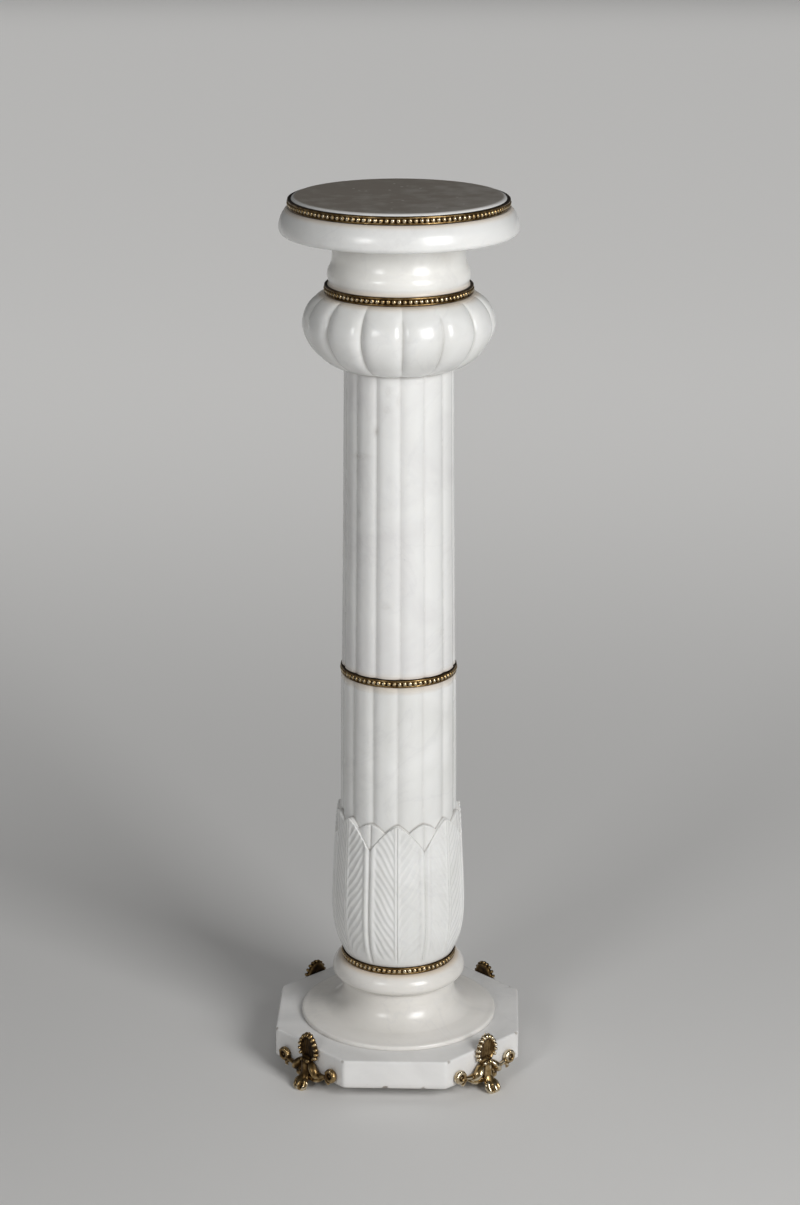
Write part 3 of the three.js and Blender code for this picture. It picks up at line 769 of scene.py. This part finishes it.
for name in rings:
    place(name, *ringSurface(name), giltBronze(name, 0.0, len(name) * 1.3), "gilt_bronze", 50)
print("rings done")

# Feet: one casting, set on the four canted sides. Its own axes are x along the side of the
# plinth, y outwards from it and z up from the floor.

foot = {"shellCentre": 51.8, "shellHeight": 35.4, "shellWidth": 31, "shellAside": -2,
        "shellLean": 1.6, "eggShape": 0.2, "lobes": 17, "armReach": 42, "voluteHeight": 28,
        "voluteOuter": 5.7, "voluteTube": 3.2, "toeReach": 22, "voxel": 0.7, "smoothing": 1,
        "polish": 0.46, "polishPerMillimetre": 0.8}


def spline(stations, steps):
    # a smooth curve through the rows of stations, by cubic blends of four neighbours
    s = np.asarray(stations, float)
    s = np.concatenate([2 * s[:1] - s[1:2], s, 2 * s[-1:] - s[-2:-1]])
    t = np.linspace(0, len(s) - 3 - 1e-9, steps)
    i = t.astype(int)
    f = (t - i)[:, None]
    p0, p1, p2, p3 = s[i], s[i + 1], s[i + 2], s[i + 3]
    return 0.5 * (2 * p1 + (p2 - p0) * f + (2 * p0 - 5 * p1 + 4 * p2 - p3) * f ** 2
                  + (3 * p1 - p0 - 3 * p2 + p3) * f ** 3)


def limb(stations, across, steps=48, columns=28, ribs=0, ribDepth=0.0):
    # stations are x, y, z, half width, half depth; an ellipse, ribbed if asked, is carried along
    # the spline with its width kept along across
    s = spline(stations, steps)
    path, wide, deep = s[:, :3], s[:, 3:4], s[:, 4:5]
    along = np.gradient(path, axis=0)
    along /= np.linalg.norm(along, axis=1, keepdims=True)
    side = across - along * (along @ np.asarray(across, float))[:, None]
    side /= np.linalg.norm(side, axis=1, keepdims=True)
    up = np.cross(along, side)
    t = np.arange(columns) * 2 * np.pi / columns
    swell = 1 + ribDepth * np.cos(ribs * t)
    ring = (np.cos(t) * swell)[None, :, None] * (side * wide)[:, None] \
        + (np.sin(t) * swell)[None, :, None] * (up * deep)[:, None]
    return closedGrid(path[:, None] + ring)


def ball(centre, radii, rows=14, columns=20):
    # centre plus radii times the unit sphere's cosines and sines
    lat = np.radians(np.linspace(-82, 82, rows))[:, None]
    lon = np.arange(columns) * 2 * np.pi / columns
    unit = np.stack([np.cos(lat) * np.cos(lon), np.cos(lat) * np.sin(lon),
                     np.sin(lat) + 0 * lon], -1)
    return closedGrid(np.asarray(centre, float) + unit * np.asarray(radii, float))


def donut(centre, ringRadius, tube, squash=1.0):
    # a circle of tube radius carried round a circle in the plane of x and z
    a = np.arange(40)[:, None] * 2 * np.pi / 40
    b = np.arange(18) * 2 * np.pi / 18
    reach = ringRadius + tube * np.cos(b)
    spots = np.stack([reach * np.cos(a), tube * squash * np.sin(b) + 0 * a,
                      reach * np.sin(a)], -1)
    return loopedGrid(np.asarray(centre, float) + spots)


def shellSurface():
    # rings shaped as an egg, from the flat back over the scalloped edge and rim into the bowl:
    # x = half width * (1 - 0.2 sin t) * cos t and z = half height * sin t, times the ring's
    # share; fine streaks run up the bowl
    f = foot
    t = np.arange(120) * 2 * np.pi / 120
    stations = np.array([  # share of the outline, depth from the plinth, how far lobes show
        (0.6, 0.5, 0), (0.85, 0.5, 0), (0.93, 1.2, 0.5), (0.96, 2.4, 1), (0.97, 3.6, 1),
        (0.96, 4.8, 1), (0.93, 5.8, 1), (0.88, 6.4, 1), (0.82, 6.3, 0.8),
        (0.77, 5.7, 0.3), (0.70, 4.9, 0), (0.58, 4.3, 0), (0.44, 3.8, 0), (0.28, 3.5, 0),
        (0.14, 3.4, 0)])
    fine = spline(stations, 44)
    share, depth, lobed = fine[:, :1], fine[:, 1:2], fine[:, 2:3].clip(0, 1)
    scallop = np.abs(np.cos(f["lobes"] / 2 * (t - np.pi / 2)))
    swell = share * (1 + 0.05 * lobed * (scallop - 0.6))
    x = -f["shellWidth"] / 2 * (1 - f["eggShape"] * np.sin(t)) * np.cos(t) * swell
    z = f["shellHeight"] / 2 * np.sin(t) * swell
    streak = 0.28 * np.cos(2 * np.pi * x / 3.1) * (1 - lobed) * np.clip((share - 0.1) * 4, 0, 1) \
        * np.clip((0.72 - share) * 8, 0, 1) * (depth > 3)
    y = depth + 0.9 * lobed * (scallop - 0.75) * (depth > 3) + streak
    return closedGrid(leaned(np.stack([x, y, f["shellCentre"] + z], -1)))


def leaned(spots):
    # the shell stands a little aside, and above the plinth's top it leans in over the plinth:
    # the lean grows with the square of the height above the top
    f = foot
    climb = ((spots[..., 2] - plinthTop) / (f["shellHeight"] / 2)).clip(0, 1)
    moved = spots.copy()
    moved[..., 0] += f["shellAside"]
    moved[..., 1] -= f["shellLean"] * climb ** 2
    return moved


def rimLobe(t):
    # one lobe of the shell's rim at angle t of its egg: a limb from the bowl's edge over the
    # rim and down behind it
    f = foot
    share = np.array([0.8, 0.86, 0.95, 1.02, 1.04])
    x = -f["shellWidth"] / 2 * share * (1 - f["eggShape"] * np.sin(t)) * np.cos(t)
    z = f["shellCentre"] + f["shellHeight"] / 2 * share * np.sin(t)
    depth = np.array([5.9, 7.0, 6.5, 4.4, 2.4])
    wide = np.array([0.9, 1.6, 2.1, 2.1, 1.4])
    path = leaned(np.stack([x, depth, z], -1))
    tangent = (np.sin(t) * f["shellWidth"], 0, np.cos(t) * f["shellHeight"])
    tangent = np.asarray(tangent) / np.linalg.norm(tangent)
    stations = np.concatenate([path, wide[:, None], 0.8 * wide[:, None]], 1)
    return limb(stations, tangent, 22, 18)


def boxBar(low, high, rounding):
    # a bar with rounded edges: a superellipse section, x = sign(cos t) * |cos t|^0.25 times the
    # half width and y likewise with sin t, carried from low z to high z
    t = np.arange(48) * 2 * np.pi / 48
    c, s = np.cos(t), np.sin(t)
    cx, cy = (low[0] + high[0]) / 2, (low[1] + high[1]) / 2
    x = np.sign(c) * np.abs(c) ** 0.25 * (high[0] - low[0]) / 2
    y = np.sign(s) * np.abs(s) ** 0.25 * (high[1] - low[1]) / 2
    step = rounding * np.array([0, 0.3, 1])  # down from each end
    inset = np.concatenate([step[::-1], step])[:, None]
    z = np.concatenate([low[2] + step, high[2] - step[::-1]])[:, None]
    kx = 1 - inset / (high[0] - low[0]) * 2
    ky = 1 - inset / (high[1] - low[1]) * 2
    return closedGrid(np.stack([cx + x * kx, cy + y * ky, z + 0 * x], -1))


def footParts():
    # solids that overlap, as a wax model is built up; a limb's rows are x, y, z, half width and
    # half depth
    f = foot
    parts = [shellSurface()]
    for i in range(f["lobes"]):
        t = np.pi / 2 + i * 2 * np.pi / f["lobes"]
        if np.sin(t) > -0.85:  # the lowest lobes would lie in the waist
            parts.append(rimLobe(t))
    # waist with a collar of three knobs
    parts.append(ball((0, 4.6, 33), (10, 4.6, 8.5)))
    for x, size in ((-4.6, 3.3), (0, 2.9), (4.6, 3.3)):
        parts.append(ball((x, 8.6, 35.6), (size, size * 0.9, size * 0.85)))
    parts.append(limb([(-9, 4.4, 35, 1.6, 1.6), (-5, 7.8, 32.6, 2.0, 2.0),
                       (0, 9.2, 31.6, 2.2, 2.2), (5, 7.8, 32.6, 2.0, 2.0),
                       (9, 4.4, 35, 1.6, 1.6)], (0, 0, 1), 30, 20))
    for side in (-1, 1):
        outer = (0, side, 0)
        # the arm's drooping leaf and the smaller one below it
        parts.append(limb([(side * 6, 4.2, 35, 2.4, 2.6), (side * 10.5, 6.2, 31, 5.2, 4.4),
                           (side * 15, 7.8, 26, 6.4, 5.2), (side * 18.6, 7.0, 21.4, 5.6, 4.6),
                           (side * 22.5, 5.2, 19.6, 2.2, 2.0)], outer, 44, 34, 4, 0.05))
        parts.append(limb([(side * 7, 4.4, 30, 2.2, 2.0), (side * 9.4, 5.8, 25, 3.0, 2.8),
                           (side * 12, 6.2, 20, 2.8, 2.6), (side * 14.6, 5.4, 17, 1.6, 1.6)],
                          outer, 36, 26, 5, 0.08))
        # the thin neck, the volute with its eye, and the tail below it
        parts.append(limb([(side * 18, 4.8, 23.6, 3.2, 3.0), (side * 25, 4.6, 22.6, 2.9, 2.4),
                           (side * 31, 4.4, 23.6, 2.8, 2.3), (side * 38, 4.2, 25.4, 3.2, 2.6)],
                          outer, 36, 22, 3, 0.1))
        centre = (side * f["armReach"], 3.9, f["voluteHeight"])
        parts.append(donut(centre, f["voluteOuter"], f["voluteTube"], 1.15))
        parts.append(ball((centre[0], 4.4, centre[2]), (2.7, 2.4, 2.7), 10, 16))
        parts.append(ball((centre[0], 2.6, centre[2]), (6.4, 2.0, 6.4), 8, 24))
        for turn in np.radians([20, 95, 170, 245, 320]):
            parts.append(ball((centre[0] + 6.4 * np.cos(turn), 5.6, centre[2] + 6.4 * np.sin(turn)),
                              (2.5, 2.2, 2.5), 8, 14))
        parts.append(limb([(side * 33, 4.2, 23, 2.6, 2.2), (side * 37, 4.6, 19.5, 3.0, 2.4),
                           (side * 38.5, 4.4, 16.5, 2.2, 1.8), (side * 36, 4, 14.6, 1.0, 1.0)],
                          outer, 28, 18, 4, 0.1))
    # leg and three toes
    across = (-1, 0, 0)
    t = f["toeReach"]
    parts.append(limb([(0, 5.2, 37, 7.4, 4.4), (0, 6.8, 31, 6.8, 5.4), (0, 7.4, 24.5, 6.4, 5.4),
                       (0, 8.4, 18, 6.4, 5.2), (0, 12.2, 12, 7.8, 4.8),
                       (0, 17.4, 7.6, 9.4, 4.2)], across, 48, 44, 5, 0.03))
    for offset, reach in ((-7, t - 2), (0, t + 1), (7, t - 2)):
        parts.append(limb([(offset * 0.6, 11, 13, 2.8, 2.6), (offset * 0.86, 15, 10.4, 3.8, 3.4),
                           (offset, reach - 3.6, 7, 4.3, 3.8),
                           (offset * 1.05, reach, 3.6, 3.0, 2.9),
                           (offset * 1.08, reach + 1.4, 1.5, 1.5, 1.5)],
                          across, 36, 24, 4, 0.08))
    parts.append(boxBar((-7.5, 13, 0), (7.5, 23, 3.4), 0.6))
    # tongue below the plinth
    under = floorGap - 0.3
    parts.append(boxBar((-20, -30, under - 6), (20, 8, under), 0.8))
    return parts


def joinedSurface(parts):
    # the parts' points and faces one after the other, each face's numbers moved on to suit
    starts = np.cumsum([0] + [len(p[0]) for p in parts[:-1]])
    return (np.concatenate([p[0] for p in parts]),
            np.concatenate([p[1] + s for p, s in zip(parts, starts)]),
            np.concatenate([p[2] + s for p, s in zip(parts, starts)]))


def castFoot():
    # the parts are fused into one skin by a voxel remesh, then smoothed a little
    spots, quads, triangles = joinedSurface(footParts())
    spots[:, 2] = spots[:, 2].clip(0.02, None)  # the sole is flat
    rough = addObject("foot_parts", meshOf("foot_parts", (spots, quads, triangles), {}, 38))
    fuse = rough.modifiers.new("fuse", "REMESH")
    fuse.mode, fuse.voxel_size = "VOXEL", foot["voxel"] * mm
    soften = rough.modifiers.new("soften", "SMOOTH")
    soften.factor, soften.iterations = 0.5, foot["smoothing"]
    ready = rough.evaluated_get(bpy.context.evaluated_depsgraph_get())
    mesh = bpy.data.meshes.new_from_object(ready)
    points = np.zeros(len(mesh.vertices) * 3, np.float32)
    mesh.vertices.foreach_get("co", points)
    faces = np.zeros(len(mesh.loops), np.int32)
    mesh.loops.foreach_get("vertex_index", faces)
    bpy.data.objects.remove(rough)
    return points.reshape(-1, 3) / mm, faces.reshape(-1, 4)


def highPlaces(spots, quads, rounds=18):
    # how far each point stands out from a copy that is averaged with its neighbours round after
    # round, measured along the outward normal
    normal = np.cross(spots[quads[:, 2]] - spots[quads[:, 0]],
                      spots[quads[:, 3]] - spots[quads[:, 1]])
    normals = np.zeros_like(spots)
    for k in range(4):
        np.add.at(normals, quads[:, k], normal)
    normals /= np.linalg.norm(normals, axis=1, keepdims=True) + 1e-9
    pairs = np.concatenate([quads[:, [k, (k + 1) % 4]] for k in range(4)])
    count = np.bincount(pairs[:, 0], minlength=len(spots))[:, None]
    smooth = spots.copy()
    for _ in range(rounds):
        total = np.zeros_like(spots)
        np.add.at(total, pairs[:, 0], smooth[pairs[:, 1]])
        smooth = total / count
    return ((spots - smooth) * normals).sum(1)


footSpots, footQuads = castFoot()
footSpots[:, 2] = footSpots[:, 2].clip(0, None)
lift = highPlaces(footSpots, footQuads)
print("foot cast", len(footQuads) * 2, "triangles")
footPolish = np.clip(foot["polish"] + lift * foot["polishPerMillimetre"], 0, 1)
footTurns = {  # azimuth, painted shade (below zero it paints light, on the lit front right foot), its slide along the plinth's side, and shares of the toes' reach and of the shell's height; no two castings came out quite alike in shape
    # the toes' reach and of the shell's height; no two castings came out quite alike
    "foot_front_right": (45, -0.08, 0.0, 1.04, 1.0), "foot_back_right": (135, 0.32, 0.0, 1.0, 0.93),
    "foot_back_left": (225, 0.36, 0.0, 1.0, 0.93), "foot_front_left": (315, 0.26, -1.6, 0.85, 1.0)}
onToes = 1 - ramp01(footSpots[:, 2], 8, 24)  # rubbed bright, and painted lighter for the sheen they catch
for name, (azimuth, paintedShade, slide, toes, tall) in footTurns.items():
    a = np.radians(azimuth)
    out, along = np.array([np.sin(a), -np.cos(a)]), np.array([-np.cos(a), -np.sin(a)])
    x, y, z = footSpots[:, :1] + slide, footSpots[:, 1:2], footSpots[:, 2:]
    y = np.where(y > 8, 8 + (y - 8) * toes, y)  # in front of the leg
    z = np.where(z > 34, 34 + (z - 34) * tall, z)  # above the waist
    standing = np.concatenate([(y + plinthHalf) * out + x * along, z], 1)
    place(name, (standing, footQuads, np.zeros((0, 3), int)),
          {"polish": footPolish + abs(paintedShade) * onToes},
          giltBronze(name, paintedShade, azimuth / 50), "gilt_bronze", 60)
print("feet done")

# Floor and studio light. Lengths here are in metres.

studio = {"floor": "#E6E5E3", "floorRoughness": 0.75, "floorSize": 60, "world": "#F4F4F4",
          "worldStrength": 0.1, "aimHeight": 0.55,
          "wash": {"centre": (0, 7.5, 4.2), "wide": 14, "deep": 12, "watts": 270, "spread": 70}}
softboxes = {  # azimuth, distance, height, width and height of the face, watts
    "softbox_right": (39, 3.0, 1.75, 1.3, 1.7, 74),
    "softbox_left": (-31, 3.0, 1.8, 0.75, 0.95, 19)}


def addLamp(name, width, tall, watts, spot, turn=(0, 0, 0)):
    # a rectangular light that shines straight down until it is turned
    data = bpy.data.lights.new(name, "AREA")
    data.shape, data.size, data.size_y, data.energy = "RECTANGLE", width, tall, watts
    lamp = addObject(name, data)
    lamp.location, lamp.rotation_euler = spot, turn
    return data


def addStudio():
    # the floor, the air, the softboxes aimed at the shaft, and a broad light straight down on
    # the floor behind the column
    half = studio["floorSize"] / 2
    mesh = bpy.data.meshes.new("studio_floor")
    mesh.from_pydata([(-half, -half, 0), (half, -half, 0), (half, half, 0), (-half, half, 0)],
                     [], [(0, 1, 2, 3)])
    material, tree = newMaterial("painted_floor")  # matt pale paint, no gloss
    shader = addNode(tree, "BsdfPrincipled", None, {
        "Base Color": linear(studio["floor"]), "Roughness": studio["floorRoughness"]})
    addNode(tree, "OutputMaterial", None, {"Surface": shader})
    mesh.materials.append(material)
    ground = addObject("studio_floor", mesh)
    world = bpy.data.worlds.new("studio_air")
    world.use_nodes = True
    air = world.node_tree.nodes["Background"]
    air.inputs["Color"].default_value = linear(studio["world"])
    air.inputs["Strength"].default_value = studio["worldStrength"]
    bpy.context.scene.world = world
    for name, (azimuth, distance, height, width, tall, watts) in softboxes.items():
        a = np.radians(azimuth)
        down = np.arctan2(height - studio["aimHeight"], distance)
        addLamp(name, width, tall, watts, (distance * np.sin(a), -distance * np.cos(a), height),
                (np.pi / 2 - down, 0, a))
    wash = studio["wash"]
    data = addLamp("floor_wash", wash["wide"], wash["deep"], wash["watts"], wash["centre"])
    data.spread = float(np.radians(wash["spread"]))
    bpy.context.scene.view_settings.view_transform = "Standard"


addStudio()
print("studio lit")
